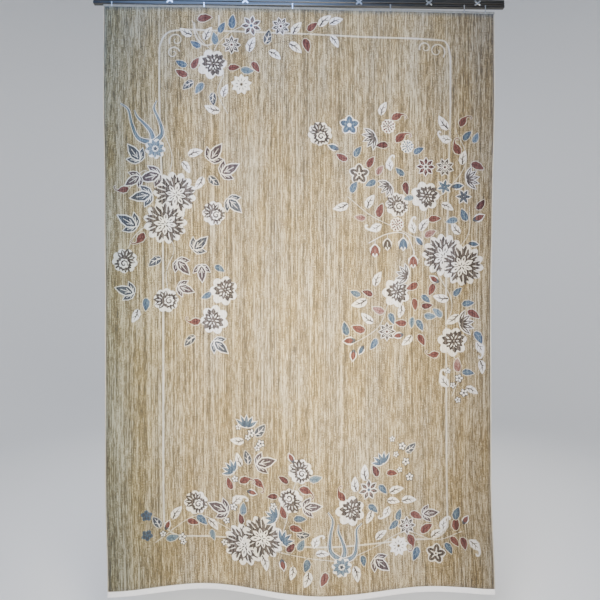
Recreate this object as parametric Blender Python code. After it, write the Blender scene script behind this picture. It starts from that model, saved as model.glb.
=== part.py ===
"""An area rug hung by its top edge from a plain metal rail. Metres, +Z up.

The origin is the middle of the rail's top face. X runs along the rail, and the pile
faces -Y. hang() turns a place on the flat rug into a place on the hanging one, and
every piece of cloth is built through it, so the pieces follow the same folds.
"""

import math

import bmesh
import bpy
from mathutils import Vector

# The flat rug, measured over its end bands and its side bindings
RUG_WIDTH = 2.000
RUG_LENGTH = 3.000
PILE_THICKNESS = 0.008
BAND_THICKNESS = 0.003
TOP_BAND_HEIGHT = 0.013
BOTTOM_BAND_HEIGHT = 0.030
BINDING_WIDTH = 0.006
BINDING_THICKNESS = 0.009
PIECE_GAP = 0.0003

# The rail's section, from its underside up: lip, groove, ridge and recessed web
RAIL_LENGTH = 2.100
RAIL_HEIGHT = 0.040
RAIL_DEPTH = 0.022
RAIL_LIP_HEIGHT = 0.012
RAIL_GROOVE_HEIGHT = 0.005
RAIL_GROOVE_DEPTH = 0.004
RAIL_RIDGE_HEIGHT = 0.005
RAIL_WEB_RECESS = 0.003
RAIL_EDGE_ROUNDING = 0.0008

# The cloth hangs in line with the rail's front face
CLOTH_Y = -RAIL_DEPTH / 2 + BAND_THICKNESS / 2

# Each hook: its place along the rail, and how far below the rail it holds the cloth's edge
HOOKS = (
    # along, drop
    (-0.955, 0.005),
    (-0.489, 0.005),
    (-0.040, 0.009),
    (0.461, 0.015),
    (0.841, 0.020),
    (0.950, 0.023),
)
HOOK_WIDTH = 0.005
HOOK_THICKNESS = 0.0015
HOOK_GRIP = 0.010
HOOK_BOSS_RADIUS = 0.004
HOOK_BOSS_THICKNESS = 0.0025

# Each cross-shaped clamp on the rail: its place along it
CLAMP_PLACES = (-0.662, -0.280, 0.300, 0.659, 0.910)
CLAMP_ARM_ANGLE = math.radians(38)
CLAMP_ARM_REACH = 0.0155
CLAMP_ARM_HALF_WIDTH = 0.0042
CLAMP_THICKNESS = 0.0025
CLAMP_EDGE_ROUNDING = 0.0005

# The hem's folds: a row for each crest, trough or edge. Depth is away from the front
FOLDS = (
    # across, depth
    (-1.000, -0.010),
    (-0.530, 0.060),
    (0.085, -0.059),
    (0.700, 0.034),
    (1.000, 0.010),
)
FOLDS_START = 0.35
FOLDS_FULL = 1.35

# Where the rug's two sides hang: the folds draw them in, and the hem sways to the right
SIDES = (
    # down, left, right
    (0.000, -0.998, 0.998),
    (0.450, -1.000, 1.000),
    (0.980, -0.990, 0.991),
    (1.500, -0.986, 0.984),
    (2.400, -0.986, 0.986),
    (3.000, -0.974, 1.006),
)

# Facets: columns across the cloth and rows down it
CLOTH_COLUMNS = 40
CLOTH_ROWS = 26
BINDING_SIDES = 8
BOSS_SIDES = 16
ROUND_END_STEPS = 5
SLOPE_STEP = 0.002
SMOOTH_ANGLE = math.radians(35)


def clear_scene():
    for obj in list(bpy.data.objects):
        bpy.data.objects.remove(obj, do_unlink=True)


def make_material(name, colour, roughness, metallic=0.0):
    material = bpy.data.materials.new(name)
    material.use_nodes = True
    shader = material.node_tree.nodes["Principled BSDF"]
    shader.inputs["Base Color"].default_value = (*colour, 1.0)
    shader.inputs["Roughness"].default_value = roughness
    shader.inputs["Metallic"].default_value = metallic
    return material


def add_object(name, shape, material):
    """An object from a bmesh, with its faces pointing out and its round stretches smooth."""
    bmesh.ops.recalc_face_normals(shape, faces=shape.faces)
    mesh = bpy.data.meshes.new(name)
    shape.to_mesh(mesh)
    shape.free()
    mesh.materials.append(material)
    mesh.shade_smooth()
    mesh.set_sharp_from_angle(angle=SMOOTH_ANGLE)
    obj = bpy.data.objects.new(name, mesh)
    bpy.context.scene.collection.objects.link(obj)
    return obj


def ease(share):
    """0 to 1, starting and ending level."""
    share = min(max(share, 0.0), 1.0)
    return share * share * (3 - 2 * share)


def eased_row(rows, place, column=1):
    """The value at a place between a table's rows, level at each row."""
    if place <= rows[0][0]:
        return rows[0][column]
    for low, high in zip(rows, rows[1:]):
        if place <= high[0]:
            share = ease((place - low[0]) / (high[0] - low[0]))
            return low[column] + share * (high[column] - low[column])
    return rows[-1][column]


def cloth_middle(across, down):
    """The middle of the cloth's thickness, at a place on the flat rug."""
    left = eased_row(SIDES, down, 1)
    right = eased_row(SIDES, down, 2)
    share = across / RUG_WIDTH + 0.5
    folded = ease((down - FOLDS_START) / (FOLDS_FULL - FOLDS_START))
    return Vector(
        (
            left + share * (right - left),
            CLOTH_Y + folded * eased_row(FOLDS, across),
            -RAIL_HEIGHT - eased_row(HOOKS, across) - down,
        )
    )


def hang(across, down, proud):
    """A point that stands proud of the cloth's middle, towards the pile's side."""
    rightwards = cloth_middle(across + SLOPE_STEP, down) - cloth_middle(across - SLOPE_STEP, down)
    downwards = cloth_middle(across, down + SLOPE_STEP) - cloth_middle(across, down - SLOPE_STEP)
    facing = downwards.cross(rightwards).normalized()
    return cloth_middle(across, down) + proud * facing


def spread(start, end, count):
    """Evenly spaced places from start to end, in count steps."""
    return [start + (end - start) * i / count for i in range(count + 1)]


def add_cloth_slab(name, material, sides, ends, thickness, rows):
    """A slab of cloth between two sides and two ends of the flat rug, hung in its folds."""
    shape = bmesh.new()
    columns = spread(sides[0], sides[1], CLOTH_COLUMNS)
    layers = []
    for proud in (thickness / 2, -thickness / 2):
        layer = [
            [shape.verts.new(hang(across, down, proud)) for across in columns]
            for down in spread(ends[0], ends[1], rows)
        ]
        layers.append(layer)
        for upper, lower in zip(layer, layer[1:]):
            for i in range(CLOTH_COLUMNS):
                shape.faces.new((upper[i], upper[i + 1], lower[i + 1], lower[i]))
    rims = [
        [(front[edge], back[edge]) for front, back in zip(*layers)] for edge in (0, -1)
    ] + [list(zip(layers[0][edge], layers[1][edge])) for edge in (0, -1)]
    for rim in rims:
        for (front, back), (next_front, next_back) in zip(rim, rim[1:]):
            shape.faces.new((front, next_front, next_back, back))
    return add_object(name, shape, material)


def add_binding(name, material, middle, ends):
    """The overlocked cord along one side: an oval section that follows the cloth."""
    shape = bmesh.new()
    rings = []
    for down in spread(ends[0], ends[1], CLOTH_ROWS):
        ring = []
        for side in range(BINDING_SIDES):
            angle = 2 * math.pi * (side + 0.5) / BINDING_SIDES
            across = middle + BINDING_WIDTH / 2 * math.cos(angle)
            ring.append(shape.verts.new(hang(across, down, BINDING_THICKNESS / 2 * math.sin(angle))))
        rings.append(ring)
    for upper, lower in zip(rings, rings[1:]):
        for i in range(BINDING_SIDES):
            after = (i + 1) % BINDING_SIDES
            shape.faces.new((upper[i], upper[after], lower[after], lower[i]))
    shape.faces.new(rings[0])
    shape.faces.new(rings[-1])
    return add_object(name, shape, material)


def add_extrusion(name, material, outline, direction, rounding):
    """A flat outline drawn out along one direction, with its edges a little rounded."""
    shape = bmesh.new()
    face = shape.faces.new([shape.verts.new(point) for point in outline])
    drawn = bmesh.ops.extrude_face_region(shape, geom=[face])
    moved = [part for part in drawn["geom"] if isinstance(part, bmesh.types.BMVert)]
    bmesh.ops.translate(shape, verts=moved, vec=direction)
    obj = add_object(name, shape, material)
    bevel = obj.modifiers.new("edges", "BEVEL")
    bevel.width = rounding
    bevel.segments = 1
    return obj


def add_rail(material):
    """The rail's section, drawn out from its left end to its right one."""
    front = -RAIL_DEPTH / 2
    underside = -RAIL_HEIGHT
    groove_bottom = underside + RAIL_LIP_HEIGHT
    groove_top = groove_bottom + RAIL_GROOVE_HEIGHT
    ridge_top = groove_top + RAIL_RIDGE_HEIGHT
    section = (
        (front, underside),
        (front, groove_bottom),
        (front + RAIL_GROOVE_DEPTH, groove_bottom),
        (front + RAIL_GROOVE_DEPTH, groove_top),
        (front, groove_top),
        (front, ridge_top),
        (front + RAIL_WEB_RECESS, ridge_top),
        (front + RAIL_WEB_RECESS, 0.0),
        (-front, 0.0),
        (-front, underside),
    )
    outline = [(-RAIL_LENGTH / 2, y, z) for y, z in section]
    return add_extrusion("rail", material, outline, (RAIL_LENGTH, 0, 0), RAIL_EDGE_ROUNDING)


def cross_outline():
    """The clamp's cross: four round-ended arms, in X and Z about its middle."""
    points = []
    arms = (CLAMP_ARM_ANGLE, math.pi - CLAMP_ARM_ANGLE, math.pi + CLAMP_ARM_ANGLE, -CLAMP_ARM_ANGLE)
    for arm, after in zip(arms, arms[1:] + arms[:1]):
        for bend in spread(-math.pi / 2, math.pi / 2, ROUND_END_STEPS):
            points.append(
                (
                    CLAMP_ARM_REACH * math.cos(arm) + CLAMP_ARM_HALF_WIDTH * math.cos(arm + bend),
                    CLAMP_ARM_REACH * math.sin(arm) + CLAMP_ARM_HALF_WIDTH * math.sin(arm + bend),
                )
            )
        half_angle = ((after - arm) % (2 * math.pi)) / 2
        notch = CLAMP_ARM_HALF_WIDTH / math.sin(half_angle)
        points.append((notch * math.cos(arm + half_angle), notch * math.sin(arm + half_angle)))
    return points


def add_clamp(name, material, along):
    """A flat cross on the rail's front, centred on its ridge."""
    back = -RAIL_DEPTH / 2 - PIECE_GAP
    height = -RAIL_HEIGHT + RAIL_LIP_HEIGHT + RAIL_GROOVE_HEIGHT + RAIL_RIDGE_HEIGHT / 2
    outline = [(along + x, back, height + z) for x, z in cross_outline()]
    return add_extrusion(name, material, outline, (0, -CLAMP_THICKNESS, 0), CLAMP_EDGE_ROUNDING)


def add_hook(name, material, along, drop):
    """A strap down the rail's front that grips the cloth's edge, under a round boss."""
    shape = bmesh.new()
    front = -RAIL_DEPTH / 2 - PIECE_GAP
    boss_height = -RAIL_HEIGHT + RAIL_LIP_HEIGHT / 2
    crown = -RAIL_HEIGHT - drop + PIECE_GAP
    grip = crown - HOOK_GRIP
    behind = CLOTH_Y + BAND_THICKNESS / 2 + PIECE_GAP
    section = (
        (front - HOOK_THICKNESS, boss_height),
        (front - HOOK_THICKNESS, grip),
        (front, grip),
        (front, crown),
        (behind, crown),
        (behind, grip),
        (behind + HOOK_THICKNESS, grip),
        (behind + HOOK_THICKNESS, crown + HOOK_THICKNESS),
        (front, crown + HOOK_THICKNESS),
        (front, boss_height),
    )
    outline = [shape.verts.new((along - HOOK_WIDTH / 2, y, z)) for y, z in section]
    drawn = bmesh.ops.extrude_face_region(shape, geom=[shape.faces.new(outline)])
    moved = [part for part in drawn["geom"] if isinstance(part, bmesh.types.BMVert)]
    bmesh.ops.translate(shape, verts=moved, vec=(HOOK_WIDTH, 0, 0))
    strap = add_object(name, shape, material)

    disc = bmesh.new()
    bmesh.ops.create_cone(
        disc,
        cap_ends=True,
        segments=BOSS_SIDES,
        radius1=HOOK_BOSS_RADIUS,
        radius2=HOOK_BOSS_RADIUS * 0.8,
        depth=HOOK_BOSS_THICKNESS,
    )
    boss = add_object(name + "_boss", disc, material)
    boss.location = (along, front - HOOK_BOSS_THICKNESS / 2, boss_height)
    boss.rotation_euler = (math.pi / 2, 0, 0)
    boss.hide_render = True
    boss.display_type = "WIRE"
    join = strap.modifiers.new("boss", "BOOLEAN")
    join.operation = "UNION"
    join.solver = "EXACT"
    join.object = boss
    return strap


def build():
    clear_scene()
    pile = make_material("wool_pile", (0.54, 0.46, 0.33), 0.95)
    cotton = make_material("cotton_band", (0.80, 0.80, 0.82), 0.9)
    serging = make_material("cream_serging", (0.62, 0.59, 0.52), 0.9)
    aluminium = make_material("satin_aluminium", (0.36, 0.41, 0.47), 0.38, 1.0)
    steel = make_material("bright_steel", (0.62, 0.64, 0.66), 0.3, 1.0)

    half_width = RUG_WIDTH / 2
    field_half = half_width - BINDING_WIDTH - PIECE_GAP
    field_ends = (TOP_BAND_HEIGHT + PIECE_GAP, RUG_LENGTH - BOTTOM_BAND_HEIGHT - PIECE_GAP)
    field_sides = (-field_half, field_half)
    band_sides = (-half_width, half_width)
    add_cloth_slab("rug_field", pile, field_sides, field_ends, PILE_THICKNESS, CLOTH_ROWS)
    add_cloth_slab("top_band", cotton, band_sides, (0, TOP_BAND_HEIGHT), BAND_THICKNESS, 1)
    hem = (RUG_LENGTH - BOTTOM_BAND_HEIGHT, RUG_LENGTH)
    add_cloth_slab("bottom_band", cotton, band_sides, hem, BAND_THICKNESS, 1)
    binding_middle = half_width - BINDING_WIDTH / 2
    add_binding("left_binding", serging, -binding_middle, field_ends)
    add_binding("right_binding", serging, binding_middle, field_ends)

    add_rail(aluminium)
    for number, (along, drop) in enumerate(HOOKS, 1):
        add_hook(f"hook_{number}", steel, along, drop)
    for number, along in enumerate(CLAMP_PLACES, 1):
        add_clamp(f"rail_clamp_{number}", steel, along)


build()
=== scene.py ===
# %% [markdown]
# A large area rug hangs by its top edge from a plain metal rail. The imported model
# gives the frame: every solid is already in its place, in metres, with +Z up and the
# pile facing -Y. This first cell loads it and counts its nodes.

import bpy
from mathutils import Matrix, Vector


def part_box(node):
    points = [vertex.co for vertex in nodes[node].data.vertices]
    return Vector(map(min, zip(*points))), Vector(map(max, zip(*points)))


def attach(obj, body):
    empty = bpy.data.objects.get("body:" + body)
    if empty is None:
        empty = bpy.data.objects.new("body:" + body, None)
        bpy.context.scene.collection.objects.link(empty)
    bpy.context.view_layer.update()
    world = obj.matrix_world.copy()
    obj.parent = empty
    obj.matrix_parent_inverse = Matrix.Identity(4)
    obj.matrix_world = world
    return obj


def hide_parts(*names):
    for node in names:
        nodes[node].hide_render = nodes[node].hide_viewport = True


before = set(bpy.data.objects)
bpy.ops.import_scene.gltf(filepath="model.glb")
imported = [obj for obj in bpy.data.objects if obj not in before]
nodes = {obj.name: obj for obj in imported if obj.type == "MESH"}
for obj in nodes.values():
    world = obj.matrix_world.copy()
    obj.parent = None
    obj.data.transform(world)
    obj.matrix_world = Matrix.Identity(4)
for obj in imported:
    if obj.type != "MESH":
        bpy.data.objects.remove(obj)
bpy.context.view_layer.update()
print("frame loaded with", len(nodes), "nodes")

# %% [markdown]
# A few small helpers serve every material and every node tree. Colours are written as
# sRGB hex values, as a paint chart gives them, and the shader wants them linear. One
# function adds any kind of node, with its settings and its links, and short ones on top of
# it give a sum, a noise, a ramp of colours, and a material with its colour and its bumps.

# %% Colour and node helpers
import math

import bpy
import numpy as np
from mathutils import Vector
from mathutils.geometry import delaunay_2d_cdt


def linear(hex_colour):
    """An sRGB hex colour as linear red, green, blue and alpha."""
    shares = [int(hex_colour[i : i + 2], 16) / 255 for i in (1, 3, 5)]
    return (*(s / 12.92 if s <= 0.04045 else ((s + 0.055) / 1.055) ** 2.4 for s in shares), 1.0)


def add_node(tree, kind, inputs=None, **settings):
    """A node with its settings. An input is a socket to link or a plain value."""
    node = tree.nodes.new(kind)
    for name, value in settings.items():
        setattr(node, name, value)
    for name, value in (inputs or {}).items():
        if isinstance(value, bpy.types.NodeSocket):
            tree.links.new(value, node.inputs[name])
        else:
            node.inputs[name].default_value = value
    return node


def output(tree, kind, inputs=None, **settings):
    """The first output of a new node."""
    return add_node(tree, kind, inputs, **settings).outputs[0]


def maths(tree, operation, *values):
    """The result of a sum on sockets and plain numbers."""
    return output(tree, "ShaderNodeMath", dict(enumerate(values)), operation=operation)


def noise(tree, place, detail, scale=1.0):
    """Soft random tones, from about 0 to 1."""
    return output(tree, "ShaderNodeTexNoise", {"Vector": place, "Scale": scale, "Detail": detail})


def colour_ramp(tree, share, stops):
    """A colour that runs from stop to stop as a share rises."""
    ramp = add_node(tree, "ShaderNodeValToRGB", {0: share})
    elements = ramp.color_ramp.elements
    elements.remove(elements[-1])
    elements[0].position = stops[0][0]
    elements[0].color = linear(stops[0][1])
    for position, colour in stops[1:]:
        elements.new(position).color = linear(colour)
    return ramp.outputs[0]


def new_finish(name, steady):
    """A material whose shader has these steady values, with its tree and its shader."""
    material = bpy.data.materials.new(name)
    material.use_nodes = True
    shader = material.node_tree.nodes["Principled BSDF"]
    for label, value in steady.items():
        shader.inputs[label].default_value = value
    return material, material.node_tree, shader


def plug(tree, shader, colour, height, strength, distance):
    """Gives a shader its colour, and bumps that stand up by a distance in metres."""
    bumps = {"Height": height, "Strength": strength, "Distance": distance}
    tree.links.new(colour, shader.inputs["Base Color"])
    tree.links.new(output(tree, "ShaderNodeBump", bumps), shader.inputs["Normal"])


print("mid grey is", round(linear("#808080")[0], 3), "linear")

# %% [markdown]
# The rug's real sizes come first, then the folds that it hangs in. The same short
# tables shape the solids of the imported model, so the pile, the bands and the stitches
# all lie on one surface. A surface written as a function is easier to dress than a
# scanned mesh: any place on the flat rug can be asked for, with any standoff.

# %% The hanging cloth as a function
RUG_WIDTH = 2.000
RUG_LENGTH = 3.000
PILE_THICKNESS = 0.008
BAND_THICKNESS = 0.003
TOP_BAND_HEIGHT = 0.013
BOTTOM_BAND_HEIGHT = 0.030
BINDING_WIDTH = 0.006
BINDING_THICKNESS = 0.009
PIECE_GAP = 0.0003
RAIL_HEIGHT = 0.040
RAIL_DEPTH = 0.022
CLOTH_Y = -RAIL_DEPTH / 2 + BAND_THICKNESS / 2
HOOKS = (
    # along, drop
    (-0.955, 0.005),
    (-0.489, 0.005),
    (-0.040, 0.009),
    (0.461, 0.015),
    (0.841, 0.020),
    (0.950, 0.023),
)
FOLDS = (
    # across, depth away from the front
    (-1.000, -0.010),
    (-0.530, 0.060),
    (0.085, -0.059),
    (0.700, 0.034),
    (1.000, 0.010),
)
FOLDS_START = 0.35
FOLDS_FULL = 1.35
SIDES = (
    # down, left, right
    (0.000, -0.998, 0.998),
    (0.450, -1.000, 1.000),
    (0.980, -0.990, 0.991),
    (1.500, -0.986, 0.984),
    (2.400, -0.986, 0.986),
    (3.000, -0.974, 1.006),
)
SLOPE_STEP = 0.002


def ease(share):
    """0 to 1, starting and ending level."""
    share = np.clip(share, 0.0, 1.0)
    return share * share * (3 - 2 * share)


def eased_row(rows, place, column=1):
    """The value at each place between a table's rows, level at each row."""
    rows = np.array(rows)
    after = np.clip(np.searchsorted(rows[:, 0], place), 1, len(rows) - 1)
    low = rows[after - 1]
    high = rows[after]
    share = ease((place - low[..., 0]) / (high[..., 0] - low[..., 0]))
    return low[..., column] + share * (high[..., column] - low[..., column])


def cloth_middle(across, down):
    """The middle of the cloth's thickness, at places on the flat rug."""
    left = eased_row(SIDES, down, 1)
    right = eased_row(SIDES, down, 2)
    folded = ease((down - FOLDS_START) / (FOLDS_FULL - FOLDS_START))
    return np.stack(
        [
            left + (across / RUG_WIDTH + 0.5) * (right - left),
            CLOTH_Y + folded * eased_row(FOLDS, across),
            -RAIL_HEIGHT - eased_row(HOOKS, across) - down,
        ],
        axis=-1,
    )


def facing(across, down):
    """The way that the pile faces, at places on the flat rug."""
    step = SLOPE_STEP
    rightwards = cloth_middle(across + step, down) - cloth_middle(across - step, down)
    downwards = cloth_middle(across, down + step) - cloth_middle(across, down - step)
    normal = np.cross(downwards, rightwards)
    return normal / np.linalg.norm(normal, axis=-1, keepdims=True)


def hang(across, down, proud):
    """Points that stand proud of the cloth's middle, towards the pile's side."""
    across, down, proud = np.broadcast_arrays(across, down, proud)
    return cloth_middle(across, down) + proud[..., None] * facing(across, down)


print("hem's middle hangs at", hang(0.0, RUG_LENGTH, 0.0).round(3))

# %% [markdown]
# The camera stands in front of the rug, level, a little to its left and turned slightly
# to the right. A short lens so close by is what makes the folds show at the hem.

# %% Camera
CAMERA_PLACE = (-0.0458, CLOTH_Y - 2.5, -1.5432)
CAMERA_YAW = 0.0177
CAMERA_LENS = 29.40
SENSOR_WIDTH = 36.0

camera_data = bpy.data.cameras.new("camera")
camera_data.lens = CAMERA_LENS
camera_data.sensor_width = SENSOR_WIDTH
camera = bpy.data.objects.new("camera", camera_data)
camera.location = CAMERA_PLACE
camera.rotation_euler = (math.pi / 2, 0.0, -CAMERA_YAW)
bpy.context.scene.collection.objects.link(camera)
bpy.context.scene.camera = camera
print("camera", round(-CAMERA_PLACE[1], 2), "m in front of the rail")

# %% [markdown]
# The flowers are woven into the pile, so they are drawn first as flat outlines, in
# centimetres. A complex number holds a place: its real part runs to the right and its
# imaginary part up the rug. Turning a shape is then one multiplication. Each outline
# comes from a formula with a few steps, as a weaver's chart has only a few knots a petal.

# %% Outlines of petals, blobs and ribbons
def petal(length, width, base=0.0, steps=5, roundness=1.0, belly=0.9):
    """A leaf or petal shape that points up from its base. More roundness blunts its tip."""
    along = (1 - np.cos(np.linspace(0, np.pi, steps + 1))) / 2
    half = width / 2 * np.abs(np.sin(np.pi * along**belly)) ** (1 / roundness)
    edge = half + 1j * (base + length * along)
    return np.concatenate([edge, -edge[-2:0:-1].conj()])


def blob(radius, lobes, depth, count):
    """A round shape with lobes. A negative depth gives pointed teeth instead."""
    angle = 2 * np.pi * np.arange(count) / count
    wave = np.abs(np.sin(lobes * angle / 2))
    reach = 1 - depth + depth * wave if depth > 0 else 1 + depth * wave
    return radius * reach * np.exp(1j * angle)


def smooth(points, steps):
    """A smooth run through a few points."""
    points = np.asarray(points, complex)
    first = 2 * points[0] - points[1]
    last = 2 * points[-1] - points[-2]
    held = np.concatenate([[first], points, [last]])
    share = np.arange(steps) / steps
    runs = [
        b
        + 0.5 * (c - a) * share
        + (a - 2.5 * b + 2 * c - 0.5 * d) * share**2
        + (1.5 * (b - c) + 0.5 * (d - a)) * share**3
        for a, b, c, d in zip(held, held[1:], held[2:], held[3:])
    ]
    return np.append(np.concatenate(runs), points[-1])


def ribbon(points, widths, steps=3):
    """A strip along a smooth run of points, with widths spread evenly along it."""
    run = smooth(points, steps)
    places = np.linspace(0, 1, len(run))
    half = np.interp(places, np.linspace(0, 1, len(widths)), widths) / 2
    way = np.gradient(run)
    side = 1j * way / np.abs(way) * half
    return np.concatenate([run + side, (run - side)[::-1]])


def fan(yarn, outline, leans, place=0j, uneven=0.0):
    """One outline turned to several leans, clockwise from up, a little uneven in length."""
    lengths = 1 - uneven * np.sin(2.4 * np.arange(len(leans)) + 10 * outline.imag.max()) ** 2
    return [(yarn, place + s * outline * np.exp(-1j * lean)) for lean, s in zip(leans, lengths)]


def ring(yarn, outline, count, start=0.0, uneven=0.0):
    """One outline repeated all round a middle."""
    return fan(yarn, outline, start + 2 * np.pi * np.arange(count) / count, 0j, uneven)


print("a petal has", len(petal(1.0, 0.4)), "points")

# %% [markdown]
# Leaves are the commonest motif. A blue or red one is worked over a pale edge, so that it
# stands clear of the streaky ground; a white one has dark veins. All are one unit long and
# point up, and a bend turns their upper part aside. Each is a list of yarns and outlines,
# painted in order.

# %% Leaves
def bent(parts, bend):
    """Parts whose upper end leans over more and more."""
    return [(yarn, outline * np.exp(-1j * bend * outline.imag)) for yarn, outline in parts]


def leaf(body, vein, halo=None, plump=0.56, bend=0.35, stroke=0.05):
    """A leaf with a midrib and three side veins."""
    shape = {"roundness": 1.35, "belly": 0.75}
    parts = [(halo, petal(1.10, plump + 0.10, base=-0.04, **shape))] if halo else []
    parts.append((body, petal(1.0, plump, **shape)))
    parts.append((vein, ribbon([0.04j, 0.45j, 0.82j], [stroke + 0.02, stroke, 0.02])))
    for height, side in ((0.18, 1), (0.34, -1), (0.50, 1)):
        tip = side * plump * 0.36 + 1j * (height + 0.17)
        parts.append((vein, ribbon([1j * height, tip], [stroke, 0.02], 1)))
    return bent(parts, bend)


def curled_leaf(body, vein):
    """A plump leaf whose tip runs out into a small hooked tail."""
    tail = [0.55j, 0.05 + 0.74j, 0.18 + 0.86j, 0.31 + 0.80j, 0.29 + 0.68j]
    parts = [
        ("line", petal(0.80, 0.55, base=-0.05)),
        ("line", ribbon(tail, [0.27, 0.15, 0.12, 0.11, 0.08])),
        (body, petal(0.70, 0.44, roundness=1.3)),
        (body, ribbon(tail, [0.20, 0.08, 0.06, 0.05, 0.03])),
        (vein, ribbon([0.05j, 0.55j], [0.06, 0.03], 2)),
    ]
    for height, side in ((0.15, 1), (0.27, -1), (0.38, 1)):
        tip = 0.15 * side + 1j * (height + 0.13)
        parts.append((vein, ribbon([1j * height, tip], [0.05, 0.02], 1)))
    return bent(parts, 0.3)


def trefoil(body, vein):
    """Three pointed leaves on one short stalk, dark with pale veins and a pale edge."""
    parts = []
    for turn, start, length in ((-0.85, 0.10, 0.60), (0.85, 0.10, 0.60), (0.0, 0.16, 0.84)):
        way = length * np.exp(-1j * turn)
        foot = 1j * start
        parts.append(("cream", foot + petal(1.14, 0.61, base=-0.07, belly=0.8) * way))
        parts.append((body, foot + petal(1.0, 0.49, belly=0.8) * way))
        parts.append((vein, foot + ribbon([0.12j * way, 0.70j * way], [0.035, 0.02], 2)))
        for side in (-1, 1):
            notch = [(0.03 * side + 0.22j) * way, (0.14 * side + 0.42j) * way]
            parts.append((vein, foot + ribbon(notch, [0.025, 0.02], 1)))
    return parts


print("a white leaf has", len(leaf("cream", "stem")), "outlines")

# %% [markdown]
# The flowers are ordinary ones that many rugs share: roses, peonies, daisies, bells and
# blossoms. Their dark comb-like strokes are what a weaver uses for shading, where two
# yarns meet without any third colour. Each flower is one unit across, about its middle.

# %% Roses and peonies
def rose():
    """A pale cup with a ragged dark rim, and a crown of dark pointed petals behind it."""
    heart = 0.09 - 0.07j
    behind = -0.04 + 0.02j
    crown = np.arange(-2.0, 0.9, 0.52)
    rim = np.arange(0.9, 4.4, 0.42)
    parts = [("cream", blob(0.50, 9, 0.14, 36) * (1 - 0.06j))]
    parts += fan("taupe", petal(0.47, 0.25, base=0.02), crown, behind, 0.15)
    parts += fan("ivory", petal(0.22, 0.045, base=0.18, steps=3), crown, behind, 0.20)
    parts += fan("taupe", petal(0.17, 0.11, base=0.24, steps=3), rim, heart, 0.25)
    parts.append(("taupe", blob(0.32, 13, -0.20, 39) + heart))
    parts.append(("ivory", blob(0.205, 7, 0.25, 28) + heart))
    curl = [0.02j, 0.07 + 0.01j, 0.04 - 0.08j, -0.08 - 0.06j, -0.10 + 0.06j]
    curl += [0.01 + 0.13j, 0.13 + 0.08j]
    parts.append(("taupe", heart + ribbon(curl, [0.03, 0.06, 0.07, 0.05, 0.03])))
    return parts


def cloud_rose():
    """A round dark heart of small petals, on a large pale patch that shows to one side."""
    heart = 0.05 + 0.04j
    outer = np.arange(0, 6.2, 0.48)
    inner = np.arange(0.3, 6.3, 1.05)
    between = np.arange(0.8, 6.3, 1.05)
    parts = [("cream", blob(0.48, 7, 0.24, 35))]
    parts += fan("taupe", petal(0.22, 0.17, base=0.19, steps=4), outer, heart, 0.25)
    parts += fan("taupe", petal(0.28, 0.27, base=0.01, steps=4), inner, heart, 0.15)
    parts += fan("ivory", petal(0.15, 0.05, base=0.09, steps=3), inner, heart, 0.30)
    parts += fan("ivory", petal(0.11, 0.06, base=0.17, steps=3), between, heart, 0.30)
    return parts


def peony():
    """A broad flower: dark strokes round the outside, then pale petals with dark edges."""
    heart = 0.02 - 0.03j
    inner = np.arange(0.2, 6.3, 0.78)
    middle = (0.3, 1.7, 2.8, 4.1, 5.3)
    parts = [("cream", blob(0.52, 13, 0.20, 65))]
    for stroke, lean in ((0.31, -0.19), (0.36, 0.0), (0.31, 0.19)):
        parts += ring("taupe", petal(stroke, 0.135, base=0.16, steps=4), 9, lean, 0.12)
    parts += ring("cream", petal(0.24, 0.032, base=0.24, steps=3), 18, 0.10, 0.20)
    parts += fan("taupe", petal(0.27, 0.21, base=0.07), inner, heart, 0.15)
    parts += fan("ivory", petal(0.22, 0.12, base=0.08), inner, heart, 0.20)
    parts += fan("taupe", petal(0.10, 0.045, base=0.13, steps=3), inner, heart, 0.15)
    parts.append(("ivory", blob(0.12, 6, 0.20, 24) + heart))
    parts += fan("taupe", petal(0.11, 0.050, base=0.02, steps=3), middle, heart, 0.3)
    return parts


print("a peony has", len(peony()), "outlines")

# %% [markdown]
# The small flowers fill the sprays: daisies, round flowers, stars and tufts face the
# viewer, while bells, buds and side flowers grow from a base. A plume is a feathery bloom
# with long tails. All are rings or fans of the same petal, in two or three yarns.

# %% Small flowers
def daisy(body, streak, eye, petals=8):
    """Separate petals with a streak in each, round an eye."""
    parts = ring("cream", petal(0.45, 0.29, base=0.06), petals)
    parts += ring(body, petal(0.37, 0.19, base=0.10, steps=4), petals)
    parts += ring(streak, petal(0.17, 0.045, base=0.14, steps=2), petals)
    return parts + [("cream", blob(0.13, 5, 0.15, 15)), (eye, blob(0.08, 5, 0.1, 10))]


def round_flower(body, inner, eye, petals=5, inner_width=0.09):
    """A few fat round petals that touch."""
    parts = ring("cream", petal(0.50, 0.46, base=0.02, roundness=1.8), petals)
    parts += ring(body, petal(0.42, 0.32, base=0.06, roundness=1.8), petals)
    parts += ring(inner, petal(0.24, inner_width, base=0.08, steps=4), petals)
    return parts + [("cream", blob(0.11, 5, 0.15, 15)), (eye, blob(0.06, 5, 0.1, 10))]


def star(body, streak):
    """Six long pointed petals."""
    parts = ring("cream", petal(0.52, 0.32), 6, 0.2)
    parts += ring(body, petal(0.46, 0.21, base=0.01), 6, 0.2)
    return parts + ring(streak, petal(0.22, 0.045, base=0.12, steps=2), 6, 0.2)


def tuft(dash, other):
    """A pale disc with three rings of short dashes in two yarns."""
    parts = [("cream", blob(0.5, 11, 0.12, 33))]
    parts += ring(dash, petal(0.17, 0.15, base=0.29, steps=3, roundness=1.6), 11, 0.0, 0.15)
    parts += ring(other, petal(0.15, 0.14, base=0.15, steps=3, roundness=1.6), 7, 0.3, 0.10)
    return parts + ring(dash, petal(0.13, 0.12, base=0.02, steps=3, roundness=1.6), 4)


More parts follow.
